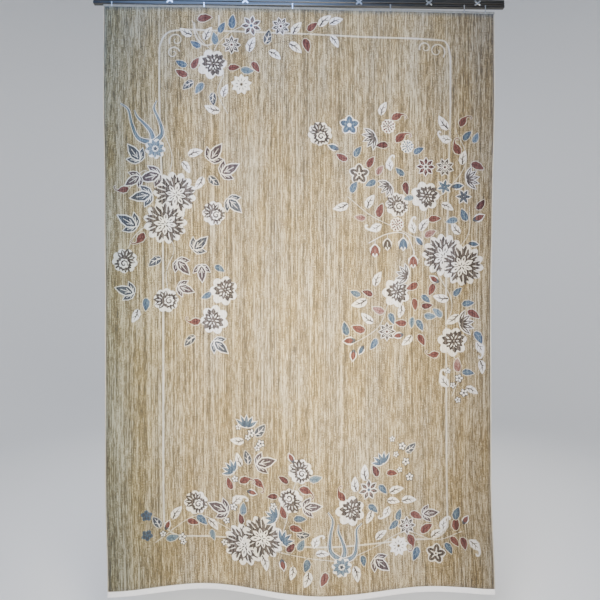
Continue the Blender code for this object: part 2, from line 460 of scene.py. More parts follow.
def blossom(rim="smoke", body="ivory"):
    """Five small petals with dark rims and a dark dot."""
    parts = ring(rim, petal(0.46, 0.42, base=0.04, steps=4, roundness=1.8), 5)
    parts += ring(body, petal(0.31, 0.24, base=0.10, steps=4, roundness=1.8), 5)
    return parts + [(rim, blob(0.09, 4, 0.1, 8))]


def bell(body, streak):
    """A hanging flower of three petals."""
    parts = [("cream", petal(0.95, 0.80))]
    parts += fan(body, petal(0.80, 0.28, base=0.10), (-0.32, 0.32, 0.0))
    return parts + [(streak, petal(0.42, 0.07, base=0.28, steps=3))]


def bud(body, sepal):
    """A closed flower held by two dark sepals."""
    parts = [("cream", petal(1.0, 0.62)), (body, petal(0.84, 0.44, base=0.08))]
    return parts + fan(sepal, petal(0.42, 0.16), (-0.45, 0.45))


def side_flower(body, streak):
    """A fan of five petals, seen from the side."""
    leans = (-0.95, 0.95, -0.48, 0.48, 0.0)
    parts = fan("cream", petal(0.92, 0.38), leans)
    for lean in leans:
        way = np.exp(-1j * lean)
        parts.append((body, petal(0.80, 0.24, base=0.06) * way))
        parts.append((streak, petal(0.40, 0.06, base=0.30, steps=2) * way))
    return parts


TAILS = (
    # lean, length, curl
    (-0.60, 1.55, 0.55),
    (-0.15, 1.15, -0.30),
    (0.55, 1.30, -0.60),
)
TAIL_STEPS = (
    # share of the length forward, share of the curl aside
    (0.00, 0.00),
    (0.35, -0.28),
    (0.70, 0.02),
    (1.00, 0.42),
    (1.25, 0.40),
)
TAIL_WIDTHS = {
    "cream": [0.26, 0.19, 0.14, 0.11, 0.05],
    "smoke": [0.20, 0.14, 0.10, 0.07, 0.03],
    "sky": [0.14, 0.09, 0.06, 0.04, 0.01],
}


def plume():
    """A feathery blue bloom with long tails that curl away behind it."""
    parts = []
    for lean, length, curl in TAILS:
        way = 1j * np.exp(-1j * lean) * length
        aside = curl * way / 1j
        spine = [forward * way + sideways * aside for forward, sideways in TAIL_STEPS]
        parts += [(yarn, ribbon(spine, widths, 5)) for yarn, widths in TAIL_WIDTHS.items()]
    head = -0.22j
    feathers = ring("sky", petal(0.27, 0.15, base=0.10, steps=4), 9)
    feathers += ring("blue", petal(0.20, 0.05, base=0.10, steps=3), 9, 0.3)
    parts.append(("cream", head + blob(0.40, 9, 0.18, 36)))
    parts += [(yarn, head + outline) for yarn, outline in feathers]
    return parts + [("smoke", head + blob(0.10, 5, -0.4, 20))]


print("a daisy has", len(daisy("taupe", "cream", "wine")), "outlines")

# %% [markdown]
# Every kind of motif gets a name and its usual size, so that the sprays can be described
# in words. A flower sits about its middle and a leaf starts at its base.

# %% The kinds of motif
FLOWERS = {
    # kind: parts, usual size in centimetres
    "rose": (rose(), 12.5),
    "cloud_rose": (cloud_rose(), 16.0),
    "peony": (peony(), 21.0),
    "grey_daisy": (daisy("taupe", "cream", "wine"), 9.5),
    "red_daisy": (daisy("wine", "pink", "taupe"), 10.0),
    "blue_eye": (daisy("taupe", "pink", "blue", 7), 10.5),
    "pale_daisy": (daisy("ivory", "stem", "stem", 9), 10.5),
    "blue_round": (round_flower("blue", "sky", "ivory"), 10.0),
    "grey_round": (round_flower("taupe", "cream", "stem", 5, 0.06), 10.5),
    "blue_star": (star("blue", "sky"), 8.0),
    "grey_star": (star("smoke", "blue"), 8.0),
    "blue_tuft": (tuft("blue", "sky"), 7.0),
    "pink_tuft": (tuft("brick", "wine"), 7.5),
    "blossom": (blossom(), 4.6),
    "smoke_blossom": (blossom("blue", "smoke"), 6.0),
}
LEAVES = {
    # kind: parts, usual length in centimetres
    "white_leaf": (leaf("cream", "taupe", plump=0.54, stroke=0.08), 7.8),
    "blue_leaf": (leaf("blue", "sky", "line"), 6.6),
    "sky_leaf": (leaf("sky", "blue", "line", bend=-0.3), 6.4),
    "grey_leaf": (leaf("smoke", "cream", "line", bend=-0.3), 7.0),
    "red_leaf": (leaf("brick", "wine", "line"), 6.8),
    "wine_leaf": (leaf("wine", "brick", "line", bend=-0.4), 6.4),
    "pink_leaf": (leaf("pink", "brick", "line"), 6.4),
    "red_curl": (curled_leaf("brick", "wine"), 9.0),
    "white_curl": (curled_leaf("ivory", "stem"), 9.5),
    "mauve_trefoil": (trefoil("mauve", "cream"), 11.0),
    "blue_trefoil": (trefoil("smoke", "cream"), 11.0),
    "grey_side": (side_flower("taupe", "cream"), 8.0),
    "blue_side": (side_flower("blue", "sky"), 7.5),
    "red_bud": (bud("brick", "smoke"), 6.5),
    "blue_bud": (bud("blue", "smoke"), 6.0),
    "pink_bell": (bell("brick", "pink"), 7.5),
    "blue_bell": (bell("blue", "sky"), 7.5),
    "grey_bell": (bell("taupe", "cream"), 7.0),
    "blossom_leaf": ([(yarn, outline + 0.5j) for yarn, outline in blossom()], 4.6),
    "plume": (plume(), 13.0),
}
print(len(FLOWERS), "kinds of flower and", len(LEAVES), "kinds that grow from a base")

# %% [markdown]
# Four sprays lie round the rug's edge: one at the top left, one down the left, a rich
# one down the right and a band along the bottom. A spray is described the way that it
# grows. A few stems are listed, the large blooms get their places, and the leaves
# and small flowers then sprout from the stems wherever there is room. A fixed seed keeps
# the result the same each time. Growing them keeps the sprays natural, without a list of
# hundreds of places.

# %% The sprays, in centimetres from the rug's top left corner
SPRAYS = {
    "top": {
        "stems": (
            ((63, 55), (58, 44), (61, 34), (56, 24), (64, 14), (78, 7)),
            ((60, 33), (72, 27), (84, 20), (98, 16), (114, 11)),
            ((57, 25), (49, 17), (45, 8)),
            ((59, 40), (49, 38), (42, 29)),
        ),
        "blooms": (
            # kind, across, down, turn
            ("cloud_rose", 55, 30, 20),
            ("grey_daisy", 65, 20, 0),
            ("grey_daisy", 90, 10, 30),
            ("blue_eye", 75, 10, 10),
            ("pale_daisy", 70, 40, 0),
        ),
        "sprouts": "white_leaf white_leaf blue_leaf red_leaf sky_leaf white_leaf grey_leaf red_leaf",
        "count": 28,
        "stalk": 5.0,
    },
    "left": {
        "stems": (
            ((28, 60), (34, 76), (30, 92), (26, 108), (34, 122), (30, 136), (32, 150)),
            ((33, 77), (46, 80), (58, 88), (60, 102)),
            ((26, 108), (15, 117), (10, 128)),
            ((34, 122), (46, 128), (56, 142), (52, 156), (48, 172)),
            ((30, 92), (20, 84), (12, 94)),
            ((31, 134), (22, 142), (15, 150)),
        ),
        "blooms": (
            ("peony", 35, 95, 0),
            ("peony", 30, 110, 40),
            ("rose", 55, 105, 0),
            ("rose", 10, 130, 70),
            ("rose", 30, 150, 330),
            ("cloud_rose", 60, 145, 0),
            ("cloud_rose", 55, 160, 200),
        ),
        "sprouts": "mauve_trefoil blue_trefoil white_leaf blue_trefoil blue_leaf mauve_trefoil "
        "grey_leaf red_curl",
        "count": 27,
        "stalk": 6.0,
    },
    "right": {
        "stems": (
            ((180, 198), (184, 184), (176, 168), (180, 150), (172, 134), (164, 118), (166, 100)),
            ((166, 100), (158, 84), (148, 70), (140, 56)),
            ((165, 100), (178, 90), (186, 76), (180, 61)),
            ((158, 84), (144, 88), (130, 80), (118, 64)),
            ((164, 118), (150, 112), (136, 106), (124, 97)),
            ((172, 134), (158, 141), (146, 150), (130, 145)),
            ((146, 150), (140, 163), (125, 172)),
            ((180, 152), (190, 162), (191, 176)),
            ((172, 132), (187, 116), (188, 100)),
            ((158, 141), (160, 154), (160, 168)),
        ),
        "blooms": (
            ("peony", 175, 125, 0),
            ("peony", 185, 130, 50),
            ("rose", 110, 65, 30),
            ("rose", 150, 100, 0),
            ("cloud_rose", 165, 95, 20),
            ("cloud_rose", 150, 145, 0),
            ("cloud_rose", 180, 170, 10),
            ("blue_round", 125, 60, 0),
            ("grey_round", 130, 85, 0),
            ("red_daisy", 165, 80, 0),
            ("grey_daisy", 175, 80, 20),
            ("blue_tuft", 155, 70, 0),
            ("pink_tuft", 145, 60, 0),
            ("pink_tuft", 150, 110, 0),
            ("grey_daisy", 145, 165, 0),
            ("blue_star", 175, 90, 0),
            ("grey_star", 185, 95, 20),
        ),
        "sprouts": "white_leaf red_leaf blue_leaf white_leaf sky_leaf red_leaf blue_leaf white_curl "
        "wine_leaf pink_leaf red_curl blue_bud red_bud grey_side blue_leaf white_leaf",
        "count": 88,
        "stalk": 7.0,
    },
    "bottom": {
        "stems": (
            ((24, 274), (44, 262), (58, 266), (70, 272), (86, 276), (102, 278), (120, 280)),
            ((70, 272), (64, 258), (68, 244), (76, 232), (71, 219)),
            ((86, 276), (92, 262), (96, 246), (100, 234)),
            ((120, 280), (124, 262), (132, 247), (143, 238), (152, 224)),
            ((120, 280), (138, 274), (154, 268), (170, 273), (184, 268)),
            ((132, 247), (146, 253), (158, 262)),
        ),
        "blooms": (
            ("peony", 70, 275, 0),
            ("peony", 80, 270, 70),
            ("rose", 100, 235, 20),
            ("rose", 95, 250, 200),
            ("rose", 45, 255, 0),
            ("cloud_rose", 125, 255, 0),
            ("blue_eye", 135, 245, 0),
            ("grey_daisy", 155, 265, 0),
            ("grey_round", 170, 280, 10),
            ("pale_daisy", 150, 275, 0),
            ("smoke_blossom", 20, 260, 0),
            ("smoke_blossom", 20, 270, 30),
        ),
        "sprouts": "white_leaf red_leaf blue_leaf white_leaf sky_leaf red_leaf white_leaf blue_leaf "
        "blue_side wine_leaf white_curl red_curl mauve_trefoil red_bud blossom_leaf grey_leaf",
        "count": 84,
        "stalk": 7.0,
    },
}
PLUMES = (
    # across, down, turn
    (25, 70, 345),
    (120, 280, 10),
)
PLUME_ROOM = (
    # forward of the plume and radius, in plume lengths
    (-0.22, 0.45),
    (0.45, 0.60),
    (1.10, 0.75),
    (1.60, 0.55),
)
BELL_ARCH = ((135, 120), (145, 115), (155, 115), (160, 125))
BELLS = (
    # kind, point of the arch that it hangs from
    ("pink_bell", 2),
    ("grey_bell", 6),
    ("blue_bell", 11),
    ("pink_bell", 17),
)
BELL_DROP = 2.0
BLOSSOM_CHAINS = (
    # first place, last place, how many
    ((70, 215), (80, 225), 5),
    ((150, 220), (155, 240), 6),
    ((30, 270), (40, 275), 3),
    ((180, 185), (185, 200), 5),
)
CHAIN_DRIFT = 2.2
CHAIN_SIZES = (0.80, 1.05)
SMALL_REACH = 0.45
print(len(SPRAYS), "sprays with", sum(len(s["blooms"]) for s in SPRAYS.values()), "placed blooms")

# %% [markdown]
# Painting a motif means turning its outlines, moving them to their place and adding them
# to a list, if all of it lies inside the rug. The list of taken circles keeps the motifs
# that come later from crowding the earlier ones. Fine stems are worked as short dashes.

# %% Painting a motif
SEED = 23
EDGE_MARGIN = 2.0
FIELD_LEFT = 100 * (BINDING_WIDTH + PIECE_GAP)
FIELD_RIGHT = 200 - FIELD_LEFT
FIELD_TOP = 100 * (TOP_BAND_HEIGHT + PIECE_GAP)
FIELD_BOTTOM = 100 * (RUG_LENGTH - BOTTOM_BAND_HEIGHT - PIECE_GAP)
STEM_WIDTH = 0.38
STALK_WIDTH = 0.24
DASH_SHARE = 0.62
SHORTEST_DASH = 0.5
CROWDING = 0.95

dice = np.random.default_rng(SEED)
stem_paint = []
motif_paint = []
taken = []


def at(across, down):
    """A place on the flat rug, from its top left corner."""
    return complex(across, -down)


def inside(outline):
    """True if an outline keeps off the field's edges."""
    return (
        outline.real.min() > FIELD_LEFT + EDGE_MARGIN
        and outline.real.max() < FIELD_RIGHT - EDGE_MARGIN
        and -outline.imag.min() < FIELD_BOTTOM - EDGE_MARGIN
        and -outline.imag.max() > FIELD_TOP + EDGE_MARGIN
    )


def is_free(middle, reach):
    """True if no motif so far comes too near."""
    return all(abs(middle - other) > CROWDING * (reach + size) for other, size in taken)


def paint(parts, place, heading, size):
    """Places a motif. The heading is the way that its top points."""
    placed = [(yarn, place + size * heading / 1j * outline) for yarn, outline in parts]
    if not all(inside(outline) for yarn, outline in placed):
        return False
    motif_paint.extend(placed)
    return True


def dashes(run, width):
    """A run worked as short dark dashes, as fine stems are woven."""
    made = []
    for start, end in zip(run, run[1:]):
        if abs(end - start) > SHORTEST_DASH:
            step = (end - start) * DASH_SHARE
            dash = [start, start + step / 2, start + step]
            made.append(("stem", ribbon(dash, [width, width], 1)))
    return made


print("the field runs from", FIELD_LEFT, "to", FIELD_RIGHT, "cm")

# %% [markdown]
# Some things are placed before the sprays grow, so that the leaves keep clear of them: two
# plumes with long ribbons, bells under their own small arch, and chains of tiny blossoms.

# %% Plumes, bells and blossom chains
for across, down, turn in PLUMES:
    parts, size = LEAVES["plume"]
    heading = 1j * np.exp(-1j * math.radians(turn))
    paint(parts, at(across, down), heading, size)
    for forward, reach in PLUME_ROOM:
        taken.append((at(across, down) + forward * size * heading, reach * size))

arch = smooth([at(*point) for point in BELL_ARCH], 6)
stem_paint.append(("cream", ribbon(arch, [STEM_WIDTH, STEM_WIDTH], 1)))
for kind, spot in BELLS:
    parts, size = LEAVES[kind]
    hanging = arch[spot] - 1j * BELL_DROP
    stem_paint.append(("cream", ribbon([arch[spot], hanging], [STALK_WIDTH, STALK_WIDTH], 1)))
    paint(parts, hanging, -1j, size)
    taken.append((hanging - 0.5j * size, SMALL_REACH * size))

for first, last, count in BLOSSOM_CHAINS:
    parts, size = FLOWERS["blossom"]
    for i in range(count):
        drift = CHAIN_DRIFT * (1 if i % 2 else -1)
        place = at(*first) + (at(*last) - at(*first)) * i / (count - 1) + drift
        paint(parts, place, 1j * np.exp(1j * i), size * CHAIN_SIZES[i % 2])
        taken.append((place, SMALL_REACH * size))
print(len(motif_paint), "outlines placed before the sprays")

# %% [markdown]
# Growing a spray is a small game of darts. A spot on a stem and a heading are drawn at
# random, and the sprout is kept only if its place is free and inside the rug. Each sprout
# gets a thin stalk back to its stem. Stems are painted first, so flowers lie over them.

# %% Grow the sprays
SPROUT_SIZES = (0.86, 1.12)
SPROUT_LEANS = (0.4, 1.5)
SPROUT_REACH = 0.40
BLOOM_REACH = 0.44
SHORTEST_STALK = 0.6
STALK_BOW = 0.3
TRIES = 60


def sprout(stems, kind, stalk):
    """Tries one leaf or small flower off a stem, and says whether it had room."""
    parts, usual = LEAVES[kind]
    size = usual * dice.uniform(*SPROUT_SIZES)
    stem = stems[dice.integers(len(stems))]
    spot = dice.integers(1, len(stem) - 1)
    way = stem[spot + 1] - stem[spot - 1]
    heading = way / abs(way) * np.exp(1j * dice.choice((-1, 1)) * dice.uniform(*SPROUT_LEANS))
    base = stem[spot] + heading * dice.uniform(SHORTEST_STALK, stalk)
    middle = base + heading * size / 2
    if not is_free(middle, SPROUT_REACH * size) or not paint(parts, base, heading, size):
        return False
    taken.append((middle, SPROUT_REACH * size))
    bow = (stem[spot] + base) / 2 + STALK_BOW * (base - stem[spot]) * 1j * dice.uniform(-1, 1)
    stem_paint.extend(dashes(smooth([stem[spot], bow, base], 2), STALK_WIDTH))
    return True


for name, spray in SPRAYS.items():
    runs = [smooth([at(*point) for point in stem], 6) for stem in spray["stems"]]
    for i, run in enumerate(runs):
        if i % 2:
            stem_paint += dashes(run, STALK_WIDTH)
        else:
            stem_paint.append(("line", ribbon(run, [STEM_WIDTH, STEM_WIDTH], 1)))
    for kind, across, down, turn in spray["blooms"]:
        parts, size = FLOWERS[kind]
        if paint(parts, at(across, down), 1j * np.exp(-1j * math.radians(turn)), size):
            taken.append((at(across, down), BLOOM_REACH * size))
    kinds = spray["sprouts"].split()
    grown = 0
    for _ in range(TRIES * spray["count"]):
        if grown < spray["count"]:
            grown += sprout(runs, kinds[grown % len(kinds)], spray["stalk"])
    print(name, "spray grew", grown, "of", spray["count"], "sprouts")

# %% [markdown]
# A thin pale line frames the field, with rounded corners and two scrolls at the top left and
# the top right. It is drawn as a ribbon 8 mm wide, before everything else, so the sprays
# cover it where they cross.

# %% The frame line and its scrolls
LINE_WIDTH = 0.8
SCROLL_WIDTH = 0.7
SCROLL_TIP = 0.3
SCROLL_HEART = 0.15
SCROLL_TURNS = 1.5
SCROLL_STEPS = 16
FRAME_LINES = (
    ((28.5, 258), (28.5, 200), (28.5, 140), (28.5, 80), (28.5, 30), (29, 20), (33, 14), (42, 12.5)),
    ((58, 13), (90, 13.5), (130, 14.5), (168, 15.2), (175, 17), (177, 24)),
    ((177, 24), (177, 80), (177, 140), (177, 200), (177, 258), (176, 267), (170, 272), (160, 272.5)),
    ((46, 272.5), (80, 272.5), (120, 272.5), (160, 272.5)),
    ((28.5, 258), (29, 266), (35, 271.5), (46, 272.5)),
    ((42, 12.5), (50, 12.7), (58, 13)),
    ((46, 9), (46.5, 15), (49, 19), (52.5, 20.5), (56, 19), (58, 15), (58.5, 10), (58.5, 5)),
)
SCROLLS = (
    # middle across, middle down, size, first turn, direction
    (37, 18, 3.8, 0.5, 1),
    (35.5, 24.5, 3.4, 3.4, -1),
    (170, 21, 4.5, 2.4, -1),
    (164, 19.5, 3.2, 0.4, 1),
)


def spiral(middle, size, start, direction):
    """A spiral that opens outwards."""
    share = np.linspace(SCROLL_HEART, 1.0, SCROLL_STEPS)
    turned = start + direction * 2 * np.pi * SCROLL_TURNS * share
    return middle + size * share * np.exp(1j * turned)


frame_paint = []
for line in FRAME_LINES:
    run = [at(*point) for point in line]
    frame_paint.append(("line", ribbon(run, [LINE_WIDTH, LINE_WIDTH], 4)))
for across, down, size, start, direction in SCROLLS:
    curl = spiral(at(across, down), size, start, direction)
    frame_paint.append(("line", ribbon(curl, [SCROLL_TIP, SCROLL_WIDTH], 1)))
painted = frame_paint + stem_paint + motif_paint
print(len(painted), "outlines to weave in")

# %% [markdown]
# A woven pattern is in the pile, not on it, so no motif is a separate piece. All the
# outlines are pressed into one flat sheet of triangles, cut along every outline, and each
# triangle takes the yarn of the topmost outline over it. An image would be simpler, but
# it would blur close by; these edges stay sharp at any distance.

# %% Press the outlines into one flat sheet
GRID_STEP = 2.5
TOUCHING = 0.01
SAME_PLACE = 1e-5
YARNS = (
    "ground", "line", "cream", "ivory", "stem", "taupe", "smoke", "mauve",
    "blue", "sky", "brick", "wine", "pink",
)


def evenly(start, end, step):
    """Places from start to end, about one step apart."""
    return np.linspace(start, end, int(round((end - start) / step)) + 1)


def rim_loop():
    """The field's edge as a closed run of places, anticlockwise."""
    across = evenly(FIELD_LEFT, FIELD_RIGHT, GRID_STEP)
    down = evenly(FIELD_TOP, FIELD_BOTTOM, GRID_STEP)
    return np.concatenate(
        [
            FIELD_LEFT - 1j * down[:-1],
            across[:-1] - 1j * FIELD_BOTTOM,
            FIELD_RIGHT - 1j * down[:0:-1],
            across[:0:-1] - 1j * FIELD_TOP,
        ]
    )


def triangulate(loops, grid):
    """Triangles over closed loops and loose grid places, as places and corner numbers."""
    points = []
    edges = []
    for loop in loops:
        first = len(points)
        points += [Vector((p.real, p.imag)) for p in loop]
        edges += [(first + i, first + (i + 1) % len(loop)) for i in range(len(loop))]
    points += [Vector((p.real, p.imag)) for p in grid]
    result = delaunay_2d_cdt(points, edges, [], 0, SAME_PLACE, False)
    places = np.array([complex(v.x, v.y) for v in result[0]])
    return places, np.array(result[2])


def trimmed(outline):
    """An outline without points that fall on the one before."""
    return outline[np.abs(outline - np.roll(outline, 1)) > TOUCHING]


rim = rim_loop()
inner_across = evenly(FIELD_LEFT, FIELD_RIGHT, GRID_STEP)[1:-1]
inner_down = evenly(FIELD_TOP, FIELD_BOTTOM, GRID_STEP)[1:-1]
grid = (inner_across[None, :] - 1j * inner_down[:, None]).ravel()
painted = [(yarn, trimmed(outline)) for yarn, outline in painted]
flat, corners = triangulate([rim] + [outline for yarn, outline in painted], grid)
print("front sheet:", len(flat), "places,", len(corners), "triangles")

# %% [markdown]
# Which outline covers a triangle is settled by its middle. The number of times that an
# outline winds round the middle says whether it lies inside, also where a ribbon crosses
# itself. The middles are sorted from left to right, so each outline looks only at its own
# neighbourhood.

# %% Give every triangle its yarn
def winds_round(outline, places):
    """True for each place that the outline winds round."""
    start = outline[:, None]
    end = np.roll(outline, -1)[:, None]
    spot = places[None, :]
    turn = ((end - start).conj() * (spot - start)).imag
    upward = (start.imag <= spot.imag) & (end.imag > spot.imag) & (turn > 0)
    downward = (start.imag > spot.imag) & (end.imag <= spot.imag) & (turn < 0)
    return (upward.astype(int) - downward.astype(int)).sum(axis=0) != 0


middles = flat[corners].mean(axis=1)
order = np.argsort(middles.real)
lined_up = middles[order]
yarn_of = np.zeros(len(corners), int)
for yarn, outline in painted:
    first = np.searchsorted(lined_up.real, outline.real.min())
    last = np.searchsorted(lined_up.real, outline.real.max())
    near = np.arange(first, last)
    height = lined_up.imag[first:last]
    near = near[(height > outline.imag.min()) & (height < outline.imag.max())]
    covered = near[winds_round(outline, lined_up[near])]
    yarn_of[order[covered]] = YARNS.index(yarn)
print({yarn: int((yarn_of == i).sum()) for i, yarn in enumerate(YARNS)})

# %% [markdown]
# The pile is wool yarn, dyed before weaving, so it has no gloss and takes light softly.
# The ground is striated: each upright run of yarn is a little darker, more golden or
# creamier than its neighbour, 3 to 5 mm wide and 55 mm to 2.5 m long, and broad patches
# lean to gold or to grey. Noise alone would wave like wood grain, so the place is first
# snapped to whole columns of yarn, and every column draws its own run of tones. The
# streaks go on through the flowers, only weaker. They follow the flat rug, in metres,
# through a UV map named flat. One function makes all yarns, so they match.

# %% Yarn finishes
STREAKS = (
    # width, length in metres, weight
    (0.0026, 0.055, 0.42),
    (0.0048, 0.200, 0.25),
    (0.0044, 2.500, 0.33),
)
COLUMNS_APART = 7.31
BROAD = (0.110, 0.500)
BROAD_WEIGHT = 0.10
KNOT = (0.0026, 0.007)
KNOT_WEIGHT = 0.36
TONE_STOPS = (0.625, 0.730, 0.830)
PATCHES = ((0.35, "#FFF8E6"), (0.65, "#F3F4F8"))
# Painted shade: the field's left and right sides are darkened, the left a little cooler and the right
# a little warmer, for light falling off towards the edges.
EDGE_PAINTED_SHADE = (
    # share of the width from the left, painted shade that multiplies the dye
    (0.00, "#B2C2CC"),
    (0.24, "#FFFFFF"),
    (0.76, "#FFFFFF"),
    (1.00, "#B8BAC2"),
)
WOOL = {"Roughness": 0.95, "Specular IOR Level": 0.15, "Sheen Weight": 0.15, "Sheen Roughness": 0.6}
YARN_COLOURS = {
    # yarn: dark, middle, light
    "ground": ("#5E5647", "#8E7D5B", "#D8CAA6"),
    "line": ("#BBB5A2", "#D4CEBE", "#E8E3D5"),
    "cream": ("#DAD6CC", "#F2F0EB", "#FFFFFF"),
    "ivory": ("#E4E2DC", "#F8F7F4", "#FFFFFF"),
    "stem": ("#3E362D", "#544B3D", "#6E6553"),
    "taupe": ("#35312F", "#4B4543", "#766E69"),
    "smoke": ("#363942", "#464A52", "#65696F"),
    "mauve": ("#3C3337", "#4E4448", "#6D6366"),
    "blue": ("#364253", "#485A70", "#667A8E"),
    "sky": ("#506474", "#677B8D", "#8898A4"),
    "brick": ("#4D2F2C", "#69413D", "#845B53"),
    "wine": ("#382425", "#4B2E30", "#674A49"),
    "pink": ("#735350", "#8B6965", "#A68A84"),
}


def striation(tree, place):
    """The tone of the yarn's upright runs, from noise on snapped columns at each scale."""
    tone = 0.0
    for width, length, weight in STREAKS:
        column = maths(tree, "SNAP", place[0], width)
        apart = maths(tree, "MULTIPLY", column, COLUMNS_APART / width)
        along = maths(tree, "MULTIPLY", place[1], 1 / length)
        spot = output(tree, "ShaderNodeCombineXYZ", {0: apart, 1: along})
        tone = maths(tree, "MULTIPLY_ADD", noise(tree, spot, 1.0), weight, tone)
    return tone


def speckle(tree, flat_map, width, height):
    """Noise whose spots have about this width and height in metres."""
    spread = {"Vector": flat_map, "Scale": (1 / width, 1 / height, 1)}
    return noise(tree, output(tree, "ShaderNodeMapping", spread), 1.0)


def yarn_finish(name, colours):
    """Matt striated wool pile, in three tones of one dye, darkened towards its sides by painted
    shade.
    """
    material, tree, shader = new_finish(f"wool_pile_{name}", WOOL)
    flat_map = output(tree, "ShaderNodeUVMap", uv_map="flat")
    place = add_node(tree, "ShaderNodeSeparateXYZ", {0: flat_map}).outputs
    broad = speckle(tree, flat_map, *BROAD)
    knots = speckle(tree, flat_map, *KNOT)
    tone = maths(tree, "MULTIPLY_ADD", broad, BROAD_WEIGHT, striation(tree, place))
    tone = maths(tree, "MULTIPLY_ADD", knots, KNOT_WEIGHT, tone)
    share = maths(tree, "MULTIPLY_ADD", place[0], 1 / RUG_WIDTH, 0.5)
    dyed = colour_ramp(tree, tone, list(zip(TONE_STOPS, colours)))
    blend = {"data_type": "RGBA", "blend_type": "MULTIPLY"}
    # The first multiplier is the painted shade towards the sides, the second the broad patches of
    # dye.
    for shade in (colour_ramp(tree, share, EDGE_PAINTED_SHADE), colour_ramp(tree, broad, PATCHES)):
        dyed = add_node(tree, "ShaderNodeMix", {0: 1.0, 6: dyed, 7: shade}, **blend).outputs[2]
    plug(tree, shader, dyed, tone, 0.5, 0.001)
    return material


yarn_finishes = [yarn_finish(yarn, YARN_COLOURS[yarn]) for yarn in YARNS]
print(len(yarn_finishes), "yarn finishes")

# %% [markdown]
# The sheet is now hung. Its front follows the folds 4 mm in front of the cloth's middle.
# The back is a plain sheet with the same rim, and a wall of narrow faces joins the two, so
# the pile is one closed piece. The surface also rises and falls by a fraction of a
# millimetre, because hand and loom never leave it dead flat.

# %% Hang the pile
PILE_FRONT = PILE_THICKNESS / 2
PILE_BACK = -0.0015
UNEVEN = 0.0004
RIPPLES = (
    # radians to a metre, how far they wander, radians to a metre of the wander
    (41, 3, 9),
    (23, 2, 7),
)


def metres(places):
    """Flat places in centimetres as across and down, in metres from the rug's middle top."""
    return places.real / 100 - RUG_WIDTH / 2, -places.imag / 100


def build_mesh(name, vertices, faces, finishes, finish_of=None, flat_of=None):
    """A mesh object from arrays, with its finishes and its flat map."""
    mesh = bpy.data.meshes.new(name)
    mesh.from_pydata(vertices.tolist(), [], [list(map(int, face)) for face in faces])
    for finish in finishes:
        mesh.materials.append(finish)
    if finish_of is not None:
        mesh.polygons.foreach_set("material_index", finish_of)
    if flat_of is not None:
        corner_of = np.empty(len(mesh.loops), int)
        mesh.loops.foreach_get("vertex_index", corner_of)
        layer = mesh.uv_layers.new(name="flat")
        layer.data.foreach_set("uv", flat_of[corner_of].ravel())
    mesh.shade_smooth()
    piece = bpy.data.objects.new(name, mesh)
    bpy.context.scene.collection.objects.link(piece)
    return piece


def border_edges(faces, count):
    """The edges that only one triangle has, in that triangle's direction."""
    edges = np.concatenate([faces[:, [0, 1]], faces[:, [1, 2]], faces[:, [2, 0]]])
    keys = edges.min(axis=1) * count + edges.max(axis=1)
    _, first, times = np.unique(keys, return_index=True, return_counts=True)
    return edges[first[times == 1]]


def ripple(along, aside, waves, wander, often):
    """Waves along the cloth that wander from side to side."""
    return np.sin(waves * along + wander * np.sin(often * aside))


def rounded(place):
    """A flat place as a key, to a hundredth of a millimetre."""
    return round(place.real, 3), round(place.imag, 3)


back_flat, back_corners = triangulate([rim], grid)
across, down = metres(flat)
back_across, back_down = metres(back_flat)
wave = ripple(across, down, *RIPPLES[0]) * ripple(down, across, *RIPPLES[1])
front_points = hang(across, down, PILE_FRONT - UNEVEN + UNEVEN * wave)
back_points = hang(back_across, back_down, PILE_BACK)
back_at = {rounded(place): len(flat) + i for i, place in enumerate(back_flat)}
partner = {i: back_at.get(rounded(place)) for i, place in enumerate(flat)}
border = border_edges(corners, len(flat))
wall = [(b, a, partner[a], partner[b]) for a, b in border.tolist()]
faces = corners.tolist() + (back_corners[:, ::-1] + len(flat)).tolist() + wall
finish_of = np.concatenate([yarn_of, np.zeros(len(back_corners) + len(wall), int)])
flat_of = np.stack([np.concatenate([across, back_across]), np.concatenate([down, back_down])], axis=1)
points = np.concatenate([front_points, back_points])
rug_pile = build_mesh("rug_pile", points, faces, yarn_finishes, finish_of, flat_of)
print("rug_pile has", len(faces), "faces and", len(wall), "along its rim")

# %% [markdown]
# Behind the pile is a coarse backing cloth, which shows only from the back. It is its own
# thin closed slab. The same function makes the two end bands, where a plain weave shows:
# each crossing of threads stands up or sinks in turn, like a chessboard.

# %% Slabs of woven cloth
BACKING_PITCH = (0.020, 0.020)
BACKING_FACES = (-0.0018, -0.0040)
BAND_FACES = (BAND_THICKNESS / 2, -BAND_THICKNESS / 2)
TOP_THREADS = (0.0040, 0.0026)
TOP_RELIEF = 0.0002
HEM_THREADS = (0.0040, 0.0025)
HEM_RELIEF = 0.0003
SCALLOP_WIDTH = 0.010
SCALLOP_DEPTH = 0.0012


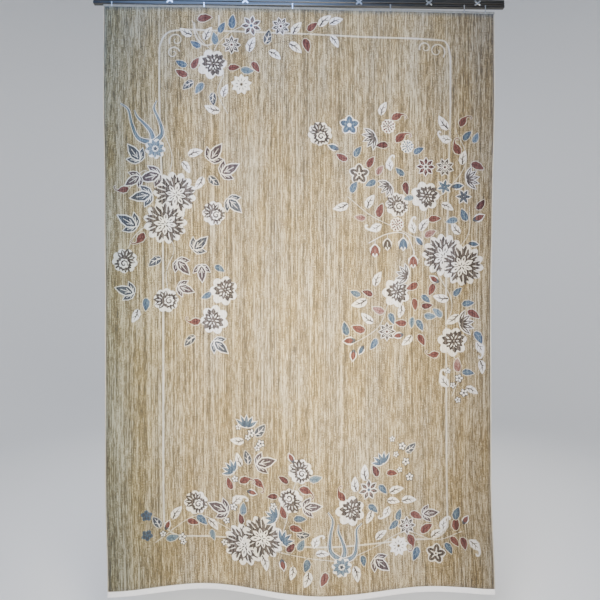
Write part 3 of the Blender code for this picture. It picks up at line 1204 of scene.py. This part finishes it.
def slab(name, sides, ends, pitch, proud, relief, finish, scallop=0.0):
    """A closed slab between two sides and ends, with a plain weave standing on its front."""
    columns = evenly(sides[0], sides[1], pitch[0])
    rows = evenly(ends[0], ends[1], pitch[1])
    across, down = np.meshgrid(columns, rows)
    check = (np.add.outer(np.arange(len(rows)), np.arange(len(columns))) % 2) * 2 - 1
    down[-1] += scallop * np.abs(np.sin(np.pi * columns / SCALLOP_WIDTH))
    front = hang(across, down, proud[0] - relief + relief * check)
    back = hang(across, down, proud[1] + relief - relief * check)
    count = len(rows) * len(columns)
    at_front = np.arange(count).reshape(len(rows), len(columns))
    upper_left, lower_left = at_front[:-1, :-1].ravel(), at_front[1:, :-1].ravel()
    lower_right, upper_right = at_front[1:, 1:].ravel(), at_front[:-1, 1:].ravel()
    quads = np.stack([upper_left, lower_left, lower_right, upper_right], axis=1)
    faces = quads.tolist() + (quads[:, ::-1] + count).tolist()
    around = (at_front[:, 0], at_front[-1, 1:], at_front[-2::-1, -1], at_front[0, -2::-1])
    edge = np.concatenate(around)
    behind = edge + count
    faces += np.stack([edge[1:], edge[:-1], behind[:-1], behind[1:]], axis=1).tolist()
    points = np.concatenate([front.reshape(-1, 3), back.reshape(-1, 3)])
    flat_of = np.tile(np.stack([across.ravel(), down.ravel()], axis=1), (2, 1))
    return build_mesh(name, points, faces, [finish], flat_of=flat_of)


def woven_finish(name, dark, light, pitch):
    """A plain weave in undyed yarn: threads one way and the other, each a little different."""
    material, tree, shader = new_finish(name, {"Roughness": 0.9, "Sheen Weight": 0.1})
    flat_map = output(tree, "ShaderNodeUVMap", uv_map="flat")
    threads = []
    for turn in (0.0, math.pi / 2):
        turned = output(tree, "ShaderNodeMapping", {"Vector": flat_map, "Rotation": (0, 0, turn)})
        bands = {"Vector": turned, "Scale": math.pi / 10 / pitch, "Distortion": 0.6, "Detail": 1.0}
        threads.append(add_node(tree, "ShaderNodeTexWave", bands).outputs[1])
    crossing = maths(tree, "MULTIPLY", *threads)
    share = maths(tree, "MULTIPLY_ADD", crossing, 0.5, noise(tree, flat_map, 3.0, 60.0))
    colour = colour_ramp(tree, share, ((0.3, dark), (0.9, light)))
    plug(tree, shader, colour, crossing, 0.6, 0.0006)
    return material


jute = woven_finish("jute_backing_cloth", "#9C8660", "#CDB98F", 0.004)
cotton = woven_finish("bleached_cotton_weave", "#F2F3F8", "#FFFFFF", 0.003)
# Painted shade: the top band's cotton is pale like the hem's, but is coloured dark grey here for the
# shadow along the rug's top edge.
shaded_top_cotton = woven_finish("top_band_cotton_painted_shade", "#73736A", "#9A998F", 0.003)
field_right = RUG_WIDTH / 2 - BINDING_WIDTH - PIECE_GAP
field_sides = (-field_right, field_right)
field_ends = (TOP_BAND_HEIGHT + PIECE_GAP, RUG_LENGTH - BOTTOM_BAND_HEIGHT - PIECE_GAP)
whole_width = (-RUG_WIDTH / 2, RUG_WIDTH / 2)
top_ends = (0.0, TOP_BAND_HEIGHT)
hem_ends = (RUG_LENGTH - BOTTOM_BAND_HEIGHT, RUG_LENGTH)
backing = (BACKING_PITCH, BACKING_FACES, 0.0, jute)
top_weave = (TOP_THREADS, BAND_FACES, TOP_RELIEF, shaded_top_cotton)
hem_weave = (HEM_THREADS, BAND_FACES, HEM_RELIEF, cotton, SCALLOP_DEPTH)
rug_backing = slab("rug_backing", field_sides, field_ends, *backing)
top_band_weave = slab("top_band_weave", whole_width, top_ends, *top_weave)
bottom_band_weave = slab("bottom_band_weave", whole_width, hem_ends, *hem_weave)
bands = (top_band_weave, bottom_band_weave)
print("faces in the two bands:", [len(band.data.polygons) for band in bands])

# %% [markdown]
# The long sides are overlocked: cream yarn is wound round the edge, turn after turn. One
# turn is modelled as an oval ring, and Geometry Nodes set a ring on every place along the
# edge, turned to the cloth there. A hem stitch is the same ring in thinner yarn, wider apart.
# A real spiral would look the same from here and cost more.

# %% Rings of yarn along an edge
SERGING_YARN = 0.0012
SERGING_PITCH = 0.0025
SERGING_SLANT = 0.25


def new_tree(name, numbers, whole_numbers=()):
    """An empty Geometry Nodes tree with named inputs, and the sockets that give them."""
    tree = bpy.data.node_groups.new(name, "GeometryNodeTree")
    kinds = {"Geometry": "NodeSocketGeometry"}
    kinds.update(dict.fromkeys(numbers, "NodeSocketFloat"))
    kinds.update(dict.fromkeys(whole_numbers, "NodeSocketInt"))
    for label, kind in kinds.items():
        tree.interface.new_socket(label, in_out="INPUT", socket_type=kind)
    tree.interface.new_socket("Geometry", in_out="OUTPUT", socket_type="NodeSocketGeometry")
    return tree, add_node(tree, "NodeGroupInput").outputs


def on_every_point(tree, given, thing, **placing):
    """Real copies of a thing, one on each point that the tree is given."""
    values = {"Points": given["Geometry"], "Instance": thing, **placing}
    copies = output(tree, "GeometryNodeInstanceOnPoints", values)
    return output(tree, "GeometryNodeRealizeInstances", {"Geometry": copies})


def in_finish(tree, shape, finish):
    """A shape in one material."""
    return output(tree, "GeometryNodeSetMaterial", {"Geometry": shape, "Material": finish})


def carried(tree, label):
    """A direction that each point of the carrier brings with it."""
    kind = "GeometryNodeInputNamedAttribute"
    return add_node(tree, kind, {"Name": label}, data_type="FLOAT_VECTOR").outputs["Attribute"]


def yarn_rings_tree(finish):
    """A node tree that sets an oval ring of yarn on every point of its carrier."""
    sizes = ("Half width", "Half thickness", "Yarn radius", "Slant")
    tree, given = new_tree("yarn_rings", sizes)
    half = {0: given["Half width"], 1: given["Half thickness"], 2: 1.0}
    scale = output(tree, "ShaderNodeCombineXYZ", half)
    slant = output(tree, "ShaderNodeCombineXYZ", {1: given["Slant"]})
    circle = "GeometryNodeCurvePrimitiveCircle"
    round_turn = output(tree, circle, {"Resolution": 8, "Radius": 1.0})
    oval = output(tree, "GeometryNodeTransform", {"Geometry": round_turn, "Scale": scale})
    tilted = output(tree, "GeometryNodeTransform", {"Geometry": oval, "Rotation": slant})
    section = output(tree, circle, {"Resolution": 4, "Radius": given["Yarn radius"]})
    turn = output(tree, "GeometryNodeCurveToMesh", {"Curve": tilted, "Profile Curve": section})
    align = "FunctionNodeAlignRotationToVector"
    upright = output(tree, align, {"Vector": carried(tree, "along")}, axis="Z")
    front = {"Rotation": upright, "Vector": carried(tree, "facing")}
    placed = output(tree, align, front, axis="Y", pivot_axis="Z")
    rings = on_every_point(tree, given, turn, Rotation=placed)
    add_node(tree, "NodeGroupOutput", {"Geometry": in_finish(tree, rings, finish)})
    return tree


def run_tree(name, tree, points, directions, values):
    """Runs a node tree on loose points that carry directions, and keeps the plain mesh."""
    mesh = bpy.data.meshes.new(name)
    mesh.from_pydata(points.tolist(), [], [])
    for label, vectors in directions.items():
        layer = mesh.attributes.new(label, "FLOAT_VECTOR", "POINT")
        layer.data.foreach_set("vector", np.ascontiguousarray(vectors, dtype=np.float32).ravel())
    piece = bpy.data.objects.new(name, mesh)
    bpy.context.scene.collection.objects.link(piece)
    modifier = piece.modifiers.new("nodes", "NODES")
    modifier.node_group = tree
    for item in tree.interface.items_tree:
        if item.in_out == "INPUT" and item.name in values:
            modifier[item.identifier] = values[item.name]
    evaluated = piece.evaluated_get(bpy.context.evaluated_depsgraph_get())
    made = bpy.data.meshes.new_from_object(evaluated)
    piece.modifiers.clear()
    piece.data = made
    made.shade_smooth()
    print(name, "has", len(made.polygons), "faces")
    return piece


def edge_places(across, down):
    """Points along an edge with the way it runs and the way the pile faces."""
    across, down = np.broadcast_arrays(across, down)
    points = hang(across, down, 0.0)
    return points, {"along": np.gradient(points, axis=0), "facing": facing(across, down)}


def plain_yarn_finish(name, dark, light, grain):
    """Twisted yarn: soft light and dark along each strand."""
    material, tree, shader = new_finish(name, {"Roughness": 0.9, "Sheen Weight": 0.15})
    place = add_node(tree, "ShaderNodeTexCoord").outputs["Object"]
    fuzz = noise(tree, place, 3.0, 1 / grain)
    colour = colour_ramp(tree, fuzz, ((0.35, dark), (0.65, light)))
    plug(tree, shader, colour, fuzz, 0.5, 0.0004)
    return material


cream_yarn = plain_yarn_finish("cream_serging_yarn", "#B9B09A", "#E6E0D2", 0.003)
rings_tree = yarn_rings_tree(cream_yarn)
serging_sizes = {
    "Half width": BINDING_WIDTH / 2 - SERGING_YARN,
    "Half thickness": BINDING_THICKNESS / 2 - SERGING_YARN,
    "Yarn radius": SERGING_YARN,
    "Slant": SERGING_SLANT,
}
binding_middle = RUG_WIDTH / 2 - BINDING_WIDTH / 2
edge_down = evenly(field_ends[0] + SERGING_YARN, field_ends[1] - SERGING_YARN, SERGING_PITCH)
sergings = []
for name, side in (("left_serging", -1), ("right_serging", 1)):
    places, directions = edge_places(side * binding_middle, edge_down)
    sergings.append(run_tree(name, rings_tree, places, directions, serging_sizes))

# %% [markdown]
# The top band's cut edge frays: short ends of yarn stand up between the hooks. Each is a
# thin cone, leaning a little, set by Geometry Nodes with random lengths from a fixed seed.

# %% Frayed ends along the top edge
FRAY_PITCH = 0.005
FRAY_LENGTH = 0.004
FRAY_RADIUS = 0.0005
FRAY_SEED = 5
FRAY_INSET = 0.006
FRAY_FOOT = 0.0004


def frays_tree(finish):
    """A node tree that stands a thin leaning cone on every point of its carrier."""
    tree, given = new_tree("frayed_ends", ("Length", "Radius"), ("Seed",))
    sizes = {"Vertices": 4, "Radius Bottom": given["Radius"], "Depth": given["Length"]}
    cone = output(tree, "GeometryNodeMeshCone", sizes)
    leans = {0: (-0.25, -0.6, 0.0), 1: (0.25, 0.6, 3.0), "Seed": given["Seed"]}
    lean = output(tree, "FunctionNodeRandomValue", leans, data_type="FLOAT_VECTOR")
    turned = output(tree, "FunctionNodeEulerToRotation", {"Euler": lean})
    scales = {2: 0.4, 3: 1.0, "Seed": given["Seed"]}
    size = add_node(tree, "FunctionNodeRandomValue", scales, data_type="FLOAT").outputs[1]
    ends = on_every_point(tree, given, cone, Rotation=turned, Scale=size)
    add_node(tree, "NodeGroupOutput", {"Geometry": in_finish(tree, ends, finish)})
    return tree


fray_across = evenly(-RUG_WIDTH / 2 + FRAY_INSET, RUG_WIDTH / 2 - FRAY_INSET, FRAY_PITCH)
fray_places = edge_places(fray_across, FRAY_FOOT)[0]
fray_sizes = {"Length": FRAY_LENGTH, "Radius": FRAY_RADIUS, "Seed": FRAY_SEED}
top_frays = run_tree("top_frays", frays_tree(cream_yarn), fray_places, {}, fray_sizes)

# %% [markdown]
# The hem is oversewn where it meets the pile, in the same cream yarn, with a wider pitch.

# %% Stitches between the pile and the hem
STITCH_PITCH = 0.005
STITCH_INSET = 0.010
STITCH_SIZES = {"Half width": 0.0022, "Half thickness": 0.0038, "Yarn radius": 0.0007, "Slant": 0.5}

stitch_across = evenly(-RUG_WIDTH / 2 + STITCH_INSET, RUG_WIDTH / 2 - STITCH_INSET, STITCH_PITCH)
stitch_places, stitch_ways = edge_places(stitch_across, RUG_LENGTH - BOTTOM_BAND_HEIGHT)
hem_stitches = run_tree("hem_stitches", rings_tree, stitch_places, stitch_ways, STITCH_SIZES)

# %% [markdown]
# The rail is extruded aluminium with a satin finish: long fine die lines run with it and
# stretch its highlights. The hooks and clamps are pressed steel, brighter and smoother,
# with faint marks from handling. These solids stay as packed, and only their finish is new.

# %% Rail, hook and clamp finishes
def metal_finish(name, dark, light, roughness, grain):
    """Metal with fine lines along X. The grain is one line's length and height in metres."""
    length, height = grain
    material, tree, shader = new_finish(name, {"Metallic": 1.0})
    place = add_node(tree, "ShaderNodeTexCoord").outputs["Object"]
    spread = {"Vector": place, "Scale": (1 / length, 1 / height, 1 / height)}
    lines = noise(tree, output(tree, "ShaderNodeMapping", spread), 4.0)
    rough = maths(tree, "MULTIPLY_ADD", lines, 0.15, roughness - 0.075)
    tree.links.new(rough, shader.inputs["Roughness"])
    plug(tree, shader, colour_ramp(tree, lines, ((0.3, dark), (0.7, light))), lines, 0.15, 0.0002)
    return material


aluminium = metal_finish("satin_extruded_aluminium", "#242321", "#6E6B65", 0.36, (0.60, 0.0030))
steel = metal_finish("bright_pressed_steel", "#A8ADB2", "#D6DADD", 0.28, (0.006, 0.001))
# Painted shade: the screw slots are near-black steel, standing in for the shade inside a slot.
slot_shade_steel = metal_finish("shaded_steel_slot", "#1C1D1F", "#2E3033", 0.6, (0.004, 0.001))
for name, node in nodes.items():
    for slot in node.material_slots:
        slot.material = aluminium if name == "rail" else steel
metal_nodes = [name for name in nodes if name.startswith(("rail", "hook"))]
print("metal finishes on", len(metal_nodes), "nodes")

# %% [markdown]
# Each clamp is fixed by one screw through its middle. Geometry Nodes set a low domed head
# on each clamp, facing out from the rail, and draw its crossed slot as two thin bars coloured dark as
# painted shade.

# %% Screws on the clamps
SCREW_RADIUS = 0.0026
SCREW_HEIGHT = 0.0012
SLOT_WIDTH = 0.0006
DOME_TOP = 0.72
SLOT_RISE = 0.15


def screws_tree(head_finish, slot_shade_finish):
    """A node tree that sets a screw head on every point, with its crossed slot drawn as two thin dark
    bars of painted shade.
    """
    tree, given = new_tree("screws", ("Radius", "Height", "Slot width"))
    rim = maths(tree, "MULTIPLY", given["Radius"], DOME_TOP)
    radii = {"Radius Top": rim, "Radius Bottom": given["Radius"]}
    dome = {"Vertices": 20, "Depth": given["Height"], **radii}
    parts = [in_finish(tree, output(tree, "GeometryNodeMeshCone", dome), head_finish)]
    lift = output(tree, "ShaderNodeCombineXYZ", {2: given["Height"]})
    thin = maths(tree, "MULTIPLY", given["Height"], SLOT_RISE)
    for first, second in (("Radius", "Slot width"), ("Slot width", "Radius")):
        size = output(tree, "ShaderNodeCombineXYZ", {0: given[first], 1: given[second], 2: thin})
        bar = output(tree, "GeometryNodeMeshCube", {"Size": size})
        raised = output(tree, "GeometryNodeTransform", {"Geometry": bar, "Translation": lift})
        parts.append(in_finish(tree, raised, slot_shade_finish))
    screw = add_node(tree, "GeometryNodeJoinGeometry")
    for part in parts:
        tree.links.new(part, screw.inputs[0])
    outwards = output(tree, "FunctionNodeEulerToRotation", {"Euler": (math.pi / 2, 0.0, 0.0)})
    screws = on_every_point(tree, given, screw.outputs[0], Rotation=outwards)
    add_node(tree, "NodeGroupOutput", {"Geometry": screws})
    return tree


clamp_fronts = []
for name in sorted(nodes):
    if name.startswith("rail_clamp"):
        low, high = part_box(name)
        clamp_fronts.append([(low[0] + high[0]) / 2, low[1], (low[2] + high[2]) / 2])
screw_sizes = {"Radius": SCREW_RADIUS, "Height": SCREW_HEIGHT, "Slot width": SLOT_WIDTH}
screws = screws_tree(steel, slot_shade_steel)
clamp_screws = run_tree("clamp_screws", screws, np.array(clamp_fronts), {}, screw_sizes)

# %% [markdown]
# Every new piece rides on the one body of the part and names the solids that it stands
# for, which are hidden.

# %% Attach each piece and hide the solids it replaces
for piece, slot_name, stands_for in (
    (rug_pile, "wool_pile", ["rug_field"]),
    (rug_backing, "wool_pile", []),
    (top_band_weave, "cotton_band", ["top_band"]),
    (bottom_band_weave, "cotton_band", ["bottom_band"]),
    (sergings[0], "cream_serging", ["left_binding"]),
    (sergings[1], "cream_serging", ["right_binding"]),
    (top_frays, "cream_serging", []),
    (hem_stitches, "cream_serging", []),
    (clamp_screws, "bright_steel", []),
):
    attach(piece, "root")
    if stands_for:
        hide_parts(*stands_for)

# %% [markdown]
# The studio is a wide pale bowl: a flat floor that curves up all round, so no corner or
# horizon shows from any side. A large soft light near the camera makes the rug brightest
# at its middle, and weaker ones keep its sides and back from going dark.

# %% Stage and lights
FLOOR_HEIGHT = -3.40
FLOOR_RADIUS = 5.4
BOWL_CURVE = 2.5
BOWL_HEIGHT = 11.0
BOWL_SIDES = 96
BOWL_STEPS = 12

bend = np.linspace(0, np.pi / 2, BOWL_STEPS + 1)
profile = [(FLOOR_RADIUS / 2, 0.0)]
profile += list(zip(FLOOR_RADIUS + BOWL_CURVE * np.sin(bend), BOWL_CURVE * (1 - np.cos(bend))))
profile.append((FLOOR_RADIUS + BOWL_CURVE, BOWL_HEIGHT))
reach, rise = np.array(profile).T
angle = 2 * np.pi * np.arange(BOWL_SIDES) / BOWL_SIDES
bowl_points = np.stack(
    [
        np.outer(reach, np.cos(angle)),
        np.outer(reach, np.sin(angle)),
        np.repeat(FLOOR_HEIGHT + rise, BOWL_SIDES).reshape(len(reach), BOWL_SIDES),
    ],
    axis=-1,
).reshape(-1, 3)
bowl_faces = []
for start in range(0, BOWL_SIDES * (len(reach) - 1), BOWL_SIDES):
    for i in range(BOWL_SIDES):
        inner = (start + i, start + (i + 1) % BOWL_SIDES)
        bowl_faces.append((inner[0], inner[0] + BOWL_SIDES, inner[1] + BOWL_SIDES, inner[1]))
bowl_faces.append(range(BOWL_SIDES))
paint_values = {"Base Color": linear("#EEEEED"), "Roughness": 1.0}
plaster = new_finish("matt_pale_studio_paint", paint_values)[0]
studio_bowl = build_mesh("studio_bowl", bowl_points, bowl_faces, [plaster])

LIGHTS = (
    # name, place, looks at, size, power, colour
    ("front_light", (0.05, -1.65, -1.70), (0.05, 0.0, -1.70), 0.8, 90.0, "#FFF5E2"),
    ("upper_light", (-0.6, -2.2, 1.1), (-0.1, 0.0, -0.3), 1.8, 84.0, "#8FB8FF"),
    ("lower_right_light", (2.4, -2.6, -1.9), (0.5, 0.0, -2.2), 1.6, 9.0, "#FFD6BE"),
    ("back_light", (0.6, 3.6, 0.2), (0.0, 0.0, -1.4), 2.4, 90.0, "#FFFFFF"),
    ("wall_light", (0.0, 1.6, 2.2), (0.0, 6.5, -1.6), 3.0, 190.0, "#FFFFFF"),
)
for name, place, target, size, power, colour in LIGHTS:
    lamp_data = bpy.data.lights.new(name, "AREA")
    lamp_data.shape = "DISK"
    lamp_data.size = size
    lamp_data.energy = power
    lamp_data.color = linear(colour)[:3]
    lamp = bpy.data.objects.new(name, lamp_data)
    lamp.location = place
    lamp.rotation_euler = (Vector(target) - Vector(place)).to_track_quat("-Z", "Y").to_euler()
    lamp.visible_camera = False
    bpy.context.scene.collection.objects.link(lamp)

AIR_COLOUR = "#D3DEF0"
AIR_STRENGTH = 0.36
world = bpy.data.worlds.new("studio_air")
world.use_nodes = True
background = world.node_tree.nodes["Background"]
background.inputs["Color"].default_value = linear(AIR_COLOUR)
background.inputs["Strength"].default_value = AIR_STRENGTH
bpy.context.scene.world = world
print("the studio has", len(LIGHTS), "soft lights")
